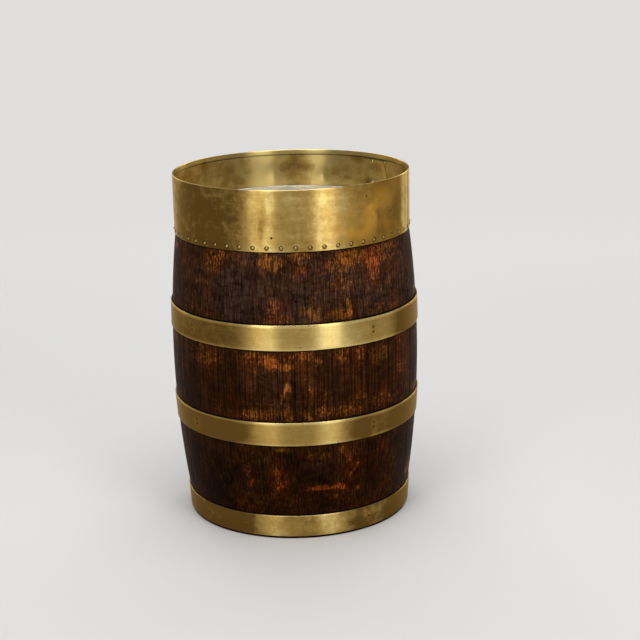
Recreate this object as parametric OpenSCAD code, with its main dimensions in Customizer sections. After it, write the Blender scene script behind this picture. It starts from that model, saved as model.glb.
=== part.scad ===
// Oak barrel bound with brass, with a tall brass collar and a lift-out zinc liner.
// Millimetres. The origin is on the floor under the middle of the barrel, +Z is up,
// and -Y is the front. An azimuth is measured from the front towards +X.

/* [Staves] */
// Outer radius of the wood at the bilge, its widest place
bilge_r = 178.6; // [172:0.2:186]
// Height of the bilge above the floor
bilge_z = 243; // [225:1:260]
// Radius of the long bow of a stave, seen from the side
bow_r = 1408; // [1250:2:1800]
// Thickness of a stave
stave_t = 18; // [14:0.5:20]
// How much slimmer the wood is at the floor than at the top of the foot hoop
foot_taper = 2.2; // [1:0.1:4]
// Thickness of a stave at its foot, under the chime bevel
chime_t = 11; // [8:0.5:13]
// Height of the chime bevel inside the foot
chime_h = 16; // [10:0.5:18]
// Width of the bevel round the inner edge of the stave tops
top_bevel = 3; // [1:0.5:5]

/* [Head] */
// Height of the underside of the head above the floor
head_z = 21; // [20:0.5:28]
// Thickness of the head boards
head_t = 15; // [10:0.5:16]
// Width of the croze, the groove that holds the head
croze_w = 5.2; // [4:0.1:7]
// Depth of the croze
croze_d = 4.5; // [3:0.1:6]
// Width of the bevel from the head's faces to its tongue
head_bevel = 14; // [8:0.5:20]
// Width of the middle head board
board_w = 96; // [80:1:120]
// How far the middle head board sits to one side
board_shift = 3; // [0:0.5:10]
// Diameter of the dowels between the head boards
dowel_d = 8; // [6:0.5:9]
// Length of a head dowel
dowel_l = 40; // [30:1:50]
// Distance of each head dowel from the middle of its joint
dowel_y = 68; // [50:1:85]

/* [Collar] */
// Height of the brass rim, the top of the barrel
rim_z = 500; // [490:1:515]
// Height of the rim above the stave tops, on which the liner hangs
rim_rise = 58; // [38:1:62]
// Height of the collar from its lower edge to its rim
collar_h = 84.2; // [76:0.2:96]
// Thickness of the collar's sheet brass
sheet_t = 1; // [0.8:0.1:1.2]
// Height of the hem that is turned in at the rim
hem_h = 7.5; // [5:0.5:10]
// Azimuth of the middle of the collar's lapped seam
seam_az = 128; // [120:0.5:150]
// Width of the collar's lapped seam
seam_w = 44; // [30:1:50]

/* [Collar fixings] */
// Number of nails in the row along the collar's lower edge
nail_count = 54; // [36:1:60]
// Azimuth of the first nail
nail_az = 1.3; // [0:0.1:6]
// Height of the nails above the collar's lower edge
nail_rise = 5.2; // [4:0.1:10]
// Diameter of a nail's domed head
nail_head_d = 4.6; // [3.5:0.1:6]
// Height of a nail's domed head
nail_head_h = 1.3; // [0.8:0.1:2]
// Diameter of a nail's shank
nail_d = 1.6; // [1.2:0.1:2]
// Length of a nail under its head
nail_l = 12; // [8:0.5:13]
// Diameter of a seam rivet's head
seam_rivet_head_d = 4.4; // [3.5:0.1:6]
// Height of a seam rivet's head
seam_rivet_head_h = 0.8; // [0.5:0.1:1]
// Diameter of a seam rivet's shank
seam_rivet_d = 2.4; // [1.6:0.1:3]
// Distance of the seam rivets from the ends of the lap
seam_rivet_in = 7.5; // [6:0.5:12]
// Height of the lower seam rivets above the stave tops
seam_rivet_rise = 15; // [6:0.5:18]
// Depth of the upper seam rivets below the rim
seam_rivet_drop = 12; // [11:0.5:18]

/* [Hoops] */
// Thickness of the brass hoops
hoop_t = 1.5; // [1:0.1:2]
// Height of the lower edge of the upper hoop
upper_z = 280.8; // [260:0.2:300]
// Width of the upper hoop
upper_w = 35.6; // [28:0.2:42]
// How far the upper hoop's top edge stands off the wood
upper_flare = 0.9; // [0.3:0.1:1.5]
// Height of the lower edge of the lower hoop
lower_z = 143.1; // [120:0.2:160]
// Width of the lower hoop
lower_w = 34.2; // [28:0.2:42]
// Height of the lower edge of the foot hoop
foot_z = 3.5; // [2:0.1:8]
// Width of the foot hoop
foot_w = 31.3; // [24:0.2:38]
// Azimuth of the middle of the hoops' lapped joints
lap_az = 162; // [145:0.5:170]
// Length of a hoop's lapped joint
lap_w = 44; // [30:1:60]

/* [Hoop fixings] */
// Azimuth of the first line of hoop pins; the others are a quarter turn apart
pin_az = 36.8; // [25:0.1:50]
// Diameter of a hoop pin's head
pin_head_d = 3.6; // [3:0.1:5]
// Height of a hoop pin's head
pin_head_h = 0.7; // [0.5:0.1:1.2]
// Diameter of a hoop pin's shank
pin_d = 1.8; // [1.2:0.1:2.4]
// Length of a hoop pin under its head
pin_l = 14; // [8:0.5:15]
// Distance between the two pins of a pair
pin_gap = 7; // [5:0.2:14]
// Diameter of a hoop rivet's head
rivet_head_d = 9; // [6:0.1:10]
// Height of a hoop rivet's head
rivet_head_h = 2; // [1:0.1:2.5]
// Diameter of a hoop rivet's shank
rivet_d = 4; // [3:0.1:5]
// Distance between the two rivets of a lap
rivet_gap = 20; // [14:0.5:26]

/* [Liner] */
// Thickness of the liner's zinc sheet
zinc_t = 1.2; // [0.8:0.1:1.6]
// Height of the underside of the liner's base above the floor
liner_z = 50; // [46:1:80]
// Gap between the liner's wall and the inner edge of the stave tops
liner_gap = 5; // [3.5:0.1:12]
// How much slimmer the liner's wall is at its base than under its flange
liner_taper = 11; // [6:0.5:30]
// Gap round the flange inside the collar's hem
flange_gap = 1.6; // [1.2:0.1:4]
// Radius of the rolled bead round the flange
bead_r = 1.7; // [1.4:0.1:2.5]
// Height of the lip that the let-in base turns down inside the wall
base_lip = 5; // [3:0.5:12]
// Width of the straps soldered over the two joints of the liner's wall
strap_w = 12; // [8:0.5:16]

/* [Hidden] */
// Widths of the staves round the barrel in degrees, as a cooper sorts them, from the front joint on
STAVE_WIDTHS = [17, 17.8, 14.8, 16.7, 16.5, 15.8, 17.2, 16, 15.4, 17.6, 16.6,
                15.2, 17.4, 16.4, 15.6, 17.1, 16, 15.4, 16.6, 16.4, 16, 16.5];
// Azimuth of the stave joint at the front
first_joint_az = -0.8;
// Number of staves
stave_count = len(STAVE_WIDTHS);
// Clearance between sheet metal and the wood under it
sheet_fit = 0.1;
// Clearance between a hoop and the bowed wood under it
hoop_fit = 0.3;
// Clearance round a nail, pin, rivet or dowel in its hole
hole_fit = 0.05;
// Clearance round the head's tongue in the croze
croze_fit = 0.1;
// How far the head's tongue shows inside the croze before its bevels start
tongue_spare = 0.6;
// Clearance under the head of a pin or rivet on a tapered hoop
head_fit = 0.1;
// How far a cutting shape runs past the surface that it cuts
past = 1;
// Facets of the round walls, of the long bow and of the small fasteners
wall_fn = 180;
bow_fn = 720;
small_fn = 24;

// Heights of the stave tops and of the collar's lower edge
stave_top_z = rim_z - rim_rise;
collar_low_z = rim_z - collar_h;
// Top of the foot hoop, up to which the foot of the wood is dressed straight
foot_top_z = foot_z + foot_w;
// Middle of the croze and of the head's thickness
croze_z = head_z + head_t / 2;
// Axis of the long bow, which lies beyond the middle of the barrel
bow_x = bilge_r - bow_r;
// Inner radius of the collar's sheet, inside its hem
collar_in_r = seat_r() + sheet_fit;
hem_in_r = collar_in_r - sheet_t;
// Angle that the collar's lap takes up
seam_deg = deg(seam_w, collar_in_r);
// Outer radius of the liner's flange, clear of the seam rivets' heads
flange_r = hem_in_r - flange_gap;
// Outer radius of the liner's wall under its flange
liner_top_r = inner(stave_top_z) - liner_gap;

// Angle of an arc of length w at radius r
function deg(w, r) = w / r * 180 / PI;
// Radius of the bowed outer face of the wood at height z
function bow(z) = bow_x + sqrt(bow_r * bow_r - (z - bilge_z) * (z - bilge_z));
// Radius of the inner face of the staves at height z
function inner(z) = bow_x + sqrt(pow(bow_r - stave_t, 2) - pow(z - bilge_z, 2));
// Radius of the straight seat under the collar
function seat_r() = bow(collar_low_z);
// Radius of the dressed foot at height z
function foot_r(z) = bow(foot_top_z) - foot_taper * (foot_top_z - z) / foot_top_z;
// Azimuth of the joint before stave i, counted from 0
function joint_az(i) = first_joint_az + 360 * before(i) / before(stave_count);
function before(i) = i == 0 ? 0 : STAVE_WIDTHS[i - 1] + before(i - 1);
// Smallest angle between two azimuths
function apart(a, b) = abs((a - b + 900) % 360 - 180);
// Whether an azimuth lies in stave i or close beside it
function near(az, i) =
    apart(az, (joint_az(i) + joint_az(i + 1)) / 2) < (joint_az(i + 1) - joint_az(i)) / 2 + 2;
// Outer radius of the liner's wall at height z
function liner_r(z) = liner_top_r - liner_taper * (stave_top_z - z) / (stave_top_z - liner_z);
// Name of stave i, counted from 1
function stave_name(i) = str("stave_", i < 10 ? "0" : "", i);
// Azimuths of the collar's nails and of the lines of hoop pins
NAIL_AZ = [for (k = [0 : nail_count - 1]) nail_az + 360 * k / nail_count];
PIN_AZ = [for (k = [0 : 3]) pin_az + 90 * k];
// Seam rivets, each as azimuth and height
SEAM_RIVETS = [for (s = [-1, 1], z = [stave_top_z + seam_rivet_rise, rim_z - seam_rivet_drop])
    [seam_az + s * deg(seam_w / 2 - seam_rivet_in, collar_in_r), z]];

// Turns what points along +X at azimuth 0 of the model's own angle to azimuth az
module at_az(az) {
    rotate([0, 0, az - 90]) children();
}

// A ring sector of a radial profile, centred on azimuth az and deg_w wide
module sector(az, deg_w) {
    at_az(az - deg_w / 2) rotate_extrude(angle = deg_w, $fn = wall_fn) children();
}

// A cylinder that points outwards at azimuth az and height z, from radius r0 to r1
module spoke(az, z, r0, r1, d) {
    at_az(az) translate([r0, 0, z]) rotate([0, 90, 0]) cylinder(d = d, h = r1 - r0, $fn = small_fn);
}

// A domed head of diameter d and height h that points outwards from radius r
module dome(az, z, r, d, h) {
    ball_r = (d * d / 4 + h * h) / (2 * h);
    at_az(az) translate([r, 0, z]) rotate([0, 90, 0]) intersection() {
        translate([0, 0, h - ball_r]) sphere(r = ball_r, $fn = small_fn);
        cylinder(d = d, h = h, $fn = small_fn);
    }
}

// The same domed head pointing inwards
module dome_inwards(az, z, r, d, h) {
    ball_r = (d * d / 4 + h * h) / (2 * h);
    at_az(az) translate([r, 0, z]) rotate([0, -90, 0]) intersection() {
        translate([0, 0, h - ball_r]) sphere(r = ball_r, $fn = small_fn);
        cylinder(d = d, h = h, $fn = small_fn);
    }
}

// Section of the coopered wall: bowed outside and inside, straight under the collar and foot hoop
module stave_profile() {
    top_in = inner(stave_top_z);
    difference() {
        union() {
            intersection() {
                translate([bow_x, bilge_z]) circle(r = bow_r, $fn = bow_fn);
                translate([inner(0) - stave_t, foot_top_z])
                    square([bilge_r, collar_low_z - foot_top_z]);
            }
            polygon([[inner(0) - stave_t, 0], [foot_r(0), 0],
                     [bow(foot_top_z), foot_top_z], [inner(0) - stave_t, foot_top_z]]);
            translate([top_in - stave_t, collar_low_z])
                square([seat_r() - top_in + stave_t, stave_top_z - collar_low_z]);
        }
        translate([bow_x, bilge_z]) circle(r = bow_r - stave_t, $fn = bow_fn);
        // Chime bevel at the foot
        polygon([[inner(chime_h), chime_h], [foot_r(0) - chime_t, 0], [foot_r(0) - chime_t, -past],
                 [inner(0) - 2 * stave_t, -past], [inner(0) - 2 * stave_t, chime_h]]);
        // Croze for the head
        translate([inner(croze_z) - stave_t, croze_z - croze_w / 2])
            square([stave_t + croze_d, croze_w]);
        // Bevel round the inner edge of the top
        polygon([[top_in - past, stave_top_z - top_bevel - past], [top_in + top_bevel + past, stave_top_z + past],
                 [top_in - past, stave_top_z + past]]);
    }
}

// Holes for what is driven into stave i
module stave_holes(i) {
    for (az = NAIL_AZ) if (near(az, i))
        spoke(az, collar_low_z + nail_rise, seat_r() - nail_l, seat_r() + past, nail_d + 2 * hole_fit);
    for (az = PIN_AZ) if (near(az, i)) {
        for (s = [-1, 1]) {
            pin_hole(az, upper_z + upper_w / 2 + s * pin_gap / 2);
            pin_hole(az, lower_z + lower_w / 2 + s * pin_gap / 2);
        }
        pin_hole(az, foot_z + foot_w / 2);
    }
}

// Hole for one hoop pin in the wood at height z
module pin_hole(az, z) {
    face = z < foot_top_z ? foot_r(z) : bow(z);
    spoke(az, z, face - pin_l, face + hoop_t + past, pin_d + 2 * hole_fit);
}

// Stave i, counted from 1: a sector of the wall with radial joints, so that each one is
// widest at the bilge, and eased where the collar's inner lap presses on it
module stave(i) {
    wide = joint_az(i) - joint_az(i - 1);
    color("saddlebrown") difference() {
        sector(joint_az(i - 1) + wide / 2, wide) stave_profile();
        stave_holes(i - 1);
        if (near(seam_az, i - 1) || near(seam_az - seam_deg / 2, i - 1) || near(seam_az + seam_deg / 2, i - 1))
            sector(seam_az, seam_deg + 2 * deg(sheet_fit, seat_r()))
                translate([hem_in_r - sheet_fit, collar_low_z - sheet_fit])
                    square([sheet_t + 2 * sheet_fit + past, stave_top_z - collar_low_z + sheet_fit + past]);
    }
}

// The round head with its tongue, before it is cut into boards
module head_disc() {
    edge_r = inner(croze_z) + croze_d - croze_fit;
    tongue = croze_w - 2 * croze_fit;
    tongue_r = edge_r - croze_d - tongue_spare;
    face_r = tongue_r - head_bevel;
    rotate_extrude($fn = wall_fn)
        polygon([[0, head_z], [face_r, head_z], [tongue_r, croze_z - tongue / 2],
                 [edge_r, croze_z - tongue / 2], [edge_r, croze_z + tongue / 2],
                 [tongue_r, croze_z + tongue / 2], [face_r, head_z + head_t], [0, head_z + head_t]]);
}

// The dowels between the head boards, or their holes when grow is the clearance round them
module dowels(grow) {
    for (s = [-1, 1], y = [-dowel_y, dowel_y])
        translate([board_shift + s * board_w / 2 - dowel_l / 2 - grow, y, croze_z])
            rotate([0, 90, 0]) cylinder(d = dowel_d + 2 * grow, h = dowel_l + 2 * grow, $fn = small_fn);
}

// The head board between two straight joints
module head_board(x0, x1) {
    color("sienna") difference() {
        intersection() {
            head_disc();
            translate([x0, -bilge_r, head_z - past]) cube([x1 - x0, 2 * bilge_r, head_t + 2 * past]);
        }
        dowels(hole_fit);
    }
}

module head_board_left() {
    head_board(-bilge_r, board_shift - board_w / 2);
}

module head_board_middle() {
    head_board(board_shift - board_w / 2, board_shift + board_w / 2);
}

module head_board_right() {
    head_board(board_shift + board_w / 2, bilge_r);
}

module head_dowels() {
    color("burlywood") dowels(0);
}

// The brass collar: a rolled sheet with a hem turned in at the rim, lapped and riveted inside
module top_collar() {
    round_r = sheet_t;
    color("goldenrod") difference() {
        union() {
            rotate_extrude($fn = wall_fn) {
                polygon([[collar_in_r, collar_low_z], [collar_in_r + sheet_t, collar_low_z],
                         [collar_in_r + sheet_t, rim_z - round_r], [hem_in_r, rim_z - round_r],
                         [hem_in_r, rim_z - hem_h], [collar_in_r, rim_z - hem_h]]);
                intersection() {
                    translate([collar_in_r, rim_z - round_r]) circle(r = round_r, $fn = small_fn * 2);
                    translate([hem_in_r, rim_z - round_r]) square([2 * sheet_t, round_r]);
                }
            }
            sector(seam_az, seam_deg) translate([hem_in_r + sheet_fit, collar_low_z])
                square([1.5 * sheet_t, rim_z - hem_h - collar_low_z]);
        }
        for (az = NAIL_AZ)
            spoke(az, collar_low_z + nail_rise, hem_in_r - past, collar_in_r + sheet_t + past,
                  nail_d + 2 * hole_fit);
        for (p = SEAM_RIVETS)
            spoke(p[0], p[1], hem_in_r - past, collar_in_r + sheet_t + past, seam_rivet_d + 2 * hole_fit);
    }
}

// The row of brass nails along the collar's lower edge
module collar_nails() {
    face = collar_in_r + sheet_t;
    color("gold") for (az = NAIL_AZ) {
        spoke(az, collar_low_z + nail_rise, seat_r() - nail_l + hole_fit, face + nail_head_h / 2, nail_d);
        dome(az, collar_low_z + nail_rise, face, nail_head_d, nail_head_h);
    }
}

// The rivets through the collar's seam above the staves, with a head inside and outside
module collar_seam_rivets() {
    face = collar_in_r + sheet_t;
    color("gold") for (p = SEAM_RIVETS) {
        spoke(p[0], p[1], hem_in_r - seam_rivet_head_h / 2, face + seam_rivet_head_h / 2, seam_rivet_d);
        dome(p[0], p[1], face, seam_rivet_head_d, seam_rivet_head_h);
        dome_inwards(p[0], p[1], hem_in_r, seam_rivet_head_d, seam_rivet_head_h);
    }
}

// Inner radius of each hoop at its lower and upper edge, as lower z, width, lower r, upper r
function upper_band() = [upper_z, upper_w, bow(upper_z) + hoop_fit, bow(upper_z + upper_w) + upper_flare];
function lower_band() = [lower_z, lower_w, bow(lower_z) + hoop_fit, bow(lower_z + lower_w) + hoop_fit];
function foot_band() = [foot_z, foot_w, foot_r(foot_z) + sheet_fit, foot_r(foot_top_z) + sheet_fit];
// Inner radius of a band at height z
function band_r(b, z) = b[2] + (b[3] - b[2]) * (z - b[0]) / b[1];

// A flat hoop: a tapered band of strip brass whose ends lap at the back, with its fixing holes
module hoop(b, pins) {
    mid_z = b[0] + b[1] / 2;
    color("goldenrod") difference() {
        union() {
            rotate_extrude($fn = wall_fn)
                polygon([[b[2], b[0]], [b[2] + hoop_t, b[0]],
                         [b[3] + hoop_t, b[0] + b[1]], [b[3], b[0] + b[1]]]);
            sector(lap_az, deg(lap_w, bilge_r))
                polygon([[b[2] + hoop_t / 2, b[0]], [b[2] + 2 * hoop_t, b[0]],
                         [b[3] + 2 * hoop_t, b[0] + b[1]], [b[3] + hoop_t / 2, b[0] + b[1]]]);
        }
        for (az = PIN_AZ, z = pins)
            spoke(az, z, band_r(b, z) - past, band_r(b, z) + hoop_t + past, pin_d + 2 * hole_fit);
        for (s = [-1, 1])
            spoke(lap_az + s * deg(rivet_gap / 2, bilge_r), mid_z, band_r(b, mid_z) - past,
                  band_r(b, mid_z) + 2 * hoop_t + past, rivet_d + 2 * hole_fit);
    }
}

// The two rivets through a hoop's lap, flush inside and domed outside
module hoop_rivets(b) {
    mid_z = b[0] + b[1] / 2;
    lap_face = band_r(b, mid_z) + 2 * hoop_t + rivet_head_d / 2 * abs(b[3] - b[2]) / b[1];
    color("gold") for (s = [-1, 1]) {
        az = lap_az + s * deg(rivet_gap / 2, bilge_r);
        spoke(az, mid_z, band_r(b, mid_z) + head_fit, lap_face + rivet_head_h / 2, rivet_d);
        dome(az, mid_z, lap_face, rivet_head_d, rivet_head_h);
    }
}

// The pins that hold a hoop in its place on the staves
module hoop_pins(b, pins) {
    slope = abs(b[3] - b[2]) / b[1];
    color("gold") for (az = PIN_AZ, z = pins) {
        wood = z < foot_top_z ? foot_r(z) : bow(z);
        face = band_r(b, z) + hoop_t + pin_head_d / 2 * slope;
        spoke(az, z, wood - pin_l + hole_fit, face + pin_head_h / 2, pin_d);
        dome(az, z, face, pin_head_d, pin_head_h);
    }
}

// Heights of the pins in each hoop
UPPER_PINS = [for (s = [-1, 1]) upper_z + upper_w / 2 + s * pin_gap / 2];
LOWER_PINS = [for (s = [-1, 1]) lower_z + lower_w / 2 + s * pin_gap / 2];
FOOT_PINS = [foot_z + foot_w / 2];

// Section of tapered zinc sheet between the heights z0 and z1, from out0 to out1 outside the wall's face
module liner_section(z0, z1, out0, out1) {
    polygon([[liner_r(z0) + out0, z0], [liner_r(z0) + out1, z0],
             [liner_r(z1) + out1, z1], [liner_r(z1) + out0, z1]]);
}

// One half of the liner's tapered wall, round azimuth az
module liner_sheet(az) {
    color("silver") sector(az, 180) liner_section(liner_z, stave_top_z, -zinc_t, 0);
}

// The straps that are soldered outside over the two joints between the halves of the wall
module liner_straps() {
    color("silver") for (az = [0, 180]) sector(az, deg(strap_w, liner_top_r))
        liner_section(liner_z + past, stave_top_z - past, sheet_fit, sheet_fit + zinc_t);
}

// The liner's base, let into the wall with its lip turned down and soldered
module liner_base() {
    top_z = liner_z + base_lip;
    out = zinc_t + sheet_fit;
    color("silver") rotate_extrude($fn = wall_fn)
        polygon([[0, top_z], [liner_r(top_z) - out, top_z],
                 [liner_r(liner_z) - out, liner_z], [liner_r(liner_z) - out - zinc_t, liner_z],
                 [liner_r(top_z - zinc_t) - out - zinc_t, top_z - zinc_t], [0, top_z - zinc_t]]);
}

// The flange on which the liner hangs on the stave tops, with a rolled bead round it
module liner_flange() {
    color("silver") rotate_extrude($fn = wall_fn) {
        translate([liner_top_r - zinc_t, stave_top_z])
            square([flange_r - bead_r - liner_top_r + zinc_t, zinc_t]);
        translate([flange_r - bead_r, stave_top_z + bead_r]) circle(r = bead_r, $fn = small_fn * 2);
    }
}

for (i = [1 : stave_count])
    stave(i);
head_board_left();
head_board_middle();
head_board_right();
head_dowels();
top_collar();
collar_nails();
collar_seam_rivets();
hoop(upper_band(), UPPER_PINS);  // upper_hoop
hoop(lower_band(), LOWER_PINS);  // lower_hoop
hoop(foot_band(), FOOT_PINS);  // foot_hoop
hoop_rivets(upper_band());  // upper_hoop_rivets
hoop_rivets(lower_band());  // lower_hoop_rivets
hoop_rivets(foot_band());  // foot_hoop_rivets
hoop_pins(upper_band(), UPPER_PINS);  // upper_hoop_pins
hoop_pins(lower_band(), LOWER_PINS);  // lower_hoop_pins
hoop_pins(foot_band(), FOOT_PINS);  // foot_hoop_pins
liner_sheet(-90);  // liner_sheet_left
liner_sheet(90);  // liner_sheet_right
liner_straps();
liner_base();
liner_flange();
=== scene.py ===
"""Looks of the brass-bound oak barrel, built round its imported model.

Everything is in metres. The barrel stands on the floor with its axis on +Z, and -Y is its front.
An azimuth is measured in degrees from the front towards +X, and a height from the floor. A mark
is a small dark spot: its azimuth, and its height and radius in millimetres.
"""

import logging
import math
import random
from dataclasses import dataclass, field, replace
from enum import Enum
from fnmatch import fnmatch
from functools import reduce
from typing import Callable, Sequence, Union

import bmesh
import bpy
from mathutils import Matrix, Vector, noise


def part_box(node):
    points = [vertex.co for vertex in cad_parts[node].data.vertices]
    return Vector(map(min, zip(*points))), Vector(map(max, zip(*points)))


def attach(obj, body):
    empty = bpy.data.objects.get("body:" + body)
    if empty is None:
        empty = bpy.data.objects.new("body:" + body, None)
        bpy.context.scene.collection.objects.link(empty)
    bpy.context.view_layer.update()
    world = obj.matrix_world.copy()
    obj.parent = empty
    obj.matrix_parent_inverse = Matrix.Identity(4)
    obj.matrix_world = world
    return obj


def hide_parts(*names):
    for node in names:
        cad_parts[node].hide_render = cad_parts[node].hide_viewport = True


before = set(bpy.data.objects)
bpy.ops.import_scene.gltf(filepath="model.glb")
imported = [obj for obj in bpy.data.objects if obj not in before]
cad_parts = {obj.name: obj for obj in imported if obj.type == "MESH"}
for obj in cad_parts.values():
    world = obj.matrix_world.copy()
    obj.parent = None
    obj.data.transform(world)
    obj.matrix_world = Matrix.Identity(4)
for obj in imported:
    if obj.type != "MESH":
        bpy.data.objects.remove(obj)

LOG = logging.getLogger("barrel")
CASK = "cask"
MM = 0.001
FULL_TURN = 360.0
# Tolerances for telling faces apart, and for merging doubles
HAIR = 0.1 * MM
DOUBLES = 1e-6
# Half sizes of the patches that cover a ring from edge to edge, and all round
RING_HEIGHT = 300
WHOLE_RING = 900

Socket = bpy.types.NodeSocket
Value = Union[Socket, float]
Node = bpy.types.Node
Material = bpy.types.Material
Piece = bpy.types.Object
Mesh = bmesh.types.BMesh
Colour = tuple[float, float, float]
Mark = tuple[float, float, float]
Corner = tuple[float, float]
Section = list[Corner]


class Slot(Enum):
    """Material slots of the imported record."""

    OAK = "oak"
    COLLAR_BRASS = "collar_brass"
    HOOP_BRASS = "hoop_brass"


# Places and measures


def polar(radius: float, azimuth: float, height: float) -> Vector:
    """Gives the point at a radius, azimuth and height."""
    turn = math.radians(azimuth)
    return Vector((radius * math.sin(turn), -radius * math.cos(turn), height))


def azimuth_of(point: Vector) -> float:
    """Gives the azimuth of a point, from -180 to 180 degrees."""
    return math.degrees(math.atan2(point.x, -point.y))


def radius_of(point: Vector) -> float:
    """Gives a point's distance from the barrel's axis."""
    return math.hypot(point.x, point.y)


def turn_between(a: float, b: float) -> float:
    """Gives the turn from azimuth b to azimuth a, from -180 to 180 degrees."""
    return (a - b + 180) % 360 - 180


def smooth_step(x: float) -> float:
    """Eases a value from 0 to 1, flat at both ends."""
    x = min(max(x, 0.0), 1.0)
    return x * x * (3 - 2 * x)


def bell(x: float, middle: float, width: float) -> float:
    """Gives the height at x of a smooth rise, which is 1 at its middle."""
    return math.exp(-((x - middle) / width) ** 2)


@dataclass(frozen=True)
class Band:
    """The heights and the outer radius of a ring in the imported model."""

    low: float
    high: float
    radius: float

    @classmethod
    def of(cls, node: str) -> "Band":
        """Reads a ring's band from its node's box."""
        low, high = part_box(node)
        return cls(low[2], high[2], min(-low[0], -low[1]))


# Patches of wear that are painted on a mesh


@dataclass(frozen=True)
class Patch:
    """A soft-edged oval on the round wall.

    Attributes:
        azimuth: Azimuth of its middle.
        height: Height of its middle, in millimetres.
        wide: Half its width, in degrees.
        tall: Half its height, in millimetres.
        amount: How strong it is; a negative amount weakens the patches under it.
        lean: Degrees that it leans towards +X for each millimetre upwards.
    """

    azimuth: float
    height: float
    wide: float
    tall: float
    amount: float
    lean: float = 0.0

    def at(self, azimuth: float, height: float) -> float:
        """Gives the patch's strength at a place.

        Args:
            azimuth: Azimuth of the place.
            height: Its height, in millimetres.

        Returns:
            The strength, 0 outside the patch.
        """
        reach = 1.6
        up = height - self.height
        if abs(up) > self.tall * reach:
            return 0.0
        across = turn_between(azimuth, self.azimuth + self.lean * up) / self.wide
        return self.amount * smooth_step(reach - math.hypot(across, up / self.tall))


def patches(*rows: Sequence[float]) -> list[Patch]:
    """Makes a patch of each row of values."""
    return [Patch(*row) for row in rows]


def stripes(height: float, *rows: tuple[float, float, float]) -> list[Patch]:
    """Makes upright stripes across a ring, each of an azimuth, half its width and its amount."""
    return [Patch(azimuth, height, wide, RING_HEIGHT, amount) for azimuth, wide, amount in rows]


def scattered(chance: random.Random, count: int, *ranges: Union[Corner, float]) -> list[Patch]:
    """Draws patches, given the least and greatest or the one value of each of their fields."""
    return [Patch(*(chance.uniform(*each) if isinstance(each, tuple) else each
                    for each in ranges)) for _ in range(count)]


def patch_paint(marks: Sequence[Patch]) -> Callable[[Vector], float]:
    """Makes the function that paints a set of patches.

    Args:
        marks: The patches.

    Returns:
        A function from a point to the strength there, which is 1 at most.
    """
    def strength(point: Vector) -> float:
        azimuth, height = azimuth_of(point), point.z / MM
        return min(sum(mark.at(azimuth, height) for mark in marks), 1.0)

    return strength


# Meshes


def spin_section(bm: Mesh, section: Section, start: float, sweep: float, steps: int) -> None:
    """Spins a closed section round the barrel's axis.

    Args:
        bm: Mesh that takes the result.
        section: Radius and height of each corner, in order round the section.
        start: Azimuth at which the spin starts.
        sweep: Degrees that it covers; a full turn makes a closed ring.
        steps: Number of steps in the sweep.
    """
    corners = [bm.verts.new(polar(radius, start, height)) for radius, height in section]
    if sweep < FULL_TURN:
        cap = bm.faces.new(corners)
        geometry = [cap, *cap.edges, *corners]
    else:
        ring = [bm.edges.new((corners[i - 1], corners[i])) for i in range(len(corners))]
        geometry = [*corners, *ring]
    bmesh.ops.spin(bm, geom=geometry, cent=(0, 0, 0), axis=(0, 0, 1), angle=math.radians(sweep),
                   steps=steps, use_merge=sweep >= FULL_TURN, use_duplicate=False)


def divided(a: Corner, b: Corner, steps: int) -> Section:
    """Gives points from a up to, but without, b in equal steps."""
    return [(a[0] + (b[0] - a[0]) * i / steps, a[1] + (b[1] - a[1]) * i / steps)
            for i in range(steps)]


def on_arc(middle: Corner, radius: float, angle: float) -> Corner:
    """Gives the point of a section's arc at an angle in degrees from outwards."""
    turn = math.radians(angle)
    return middle[0] + radius * math.cos(turn), middle[1] + radius * math.sin(turn)


def rounded(corner: Corner, start: float, ease: float, steps: int = 3) -> Section:
    """Gives a rounded corner of a section, turned against the clock.

    Args:
        corner: Radius and height of the sharp corner.
        start: Angle of the arc's first point, in degrees from outwards.
        ease: Radius of the arc.
        steps: Steps in the arc's quarter turn.

    Returns:
        The arc's points.
    """
    middle = on_arc(corner, -ease * math.sqrt(2), start + 45)
    return [on_arc(middle, ease, start + 90 * i / steps) for i in range(steps + 1)]


def push_out(vertex: bmesh.types.BMVert, distance: float) -> None:
    """Moves a vertex straight away from the barrel's axis."""
    vertex.co.xy *= 1 + distance / radius_of(vertex.co)


def close_up(bm: Mesh) -> None:
    """Merges doubles and turns all faces outwards."""
    bmesh.ops.remove_doubles(bm, verts=bm.verts, dist=DOUBLES)
    bmesh.ops.recalc_face_normals(bm, faces=bm.faces)


def data_of(name: str, bm: Mesh) -> bpy.types.Mesh:
    """Makes a mesh's data, and frees the bmesh that it comes from.

    Args:
        name: Name of the data.
        bm: The bmesh.

    Returns:
        The mesh's data.
    """
    mesh = bpy.data.meshes.new(name)
    bm.to_mesh(mesh)
    bm.free()
    return mesh


def join(bm: Mesh, other: Mesh) -> None:
    """Adds another bmesh to one, and frees the other."""
    mesh = data_of("joined", other)
    bm.from_mesh(mesh)
    bpy.data.meshes.remove(mesh)


def placed(name: str, data: bpy.types.ID) -> Piece:
    """Makes an object of its data and links it to the scene."""
    item = bpy.data.objects.new(name, data)
    bpy.context.scene.collection.objects.link(item)
    return item


def finished(name: str, bm: Mesh, body: str, slot: Slot, replaced: Sequence[str]) -> Piece:
    """Makes a mesh into a piece that rides on a body.

    Args:
        name: Name of the piece.
        bm: Its mesh, which is freed.
        body: Body that carries it.
        slot: Not used.
        replaced: Nodes that it stands for.

    Returns:
        The piece's object.
    """
    crease = 35.0
    mesh = data_of(name, bm)
    mesh.shade_smooth()
    mesh.set_sharp_from_angle(angle=math.radians(crease))
    piece = placed(name, mesh)
    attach(piece, body)
    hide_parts(*replaced)
    LOG.info("%s: %d faces, rides on %s", name, len(mesh.polygons), body)
    return piece


def dress(piece: Piece, material: Material) -> None:
    """Gives a piece its one material."""
    piece.data.materials.clear()
    piece.data.materials.append(material)


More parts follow.
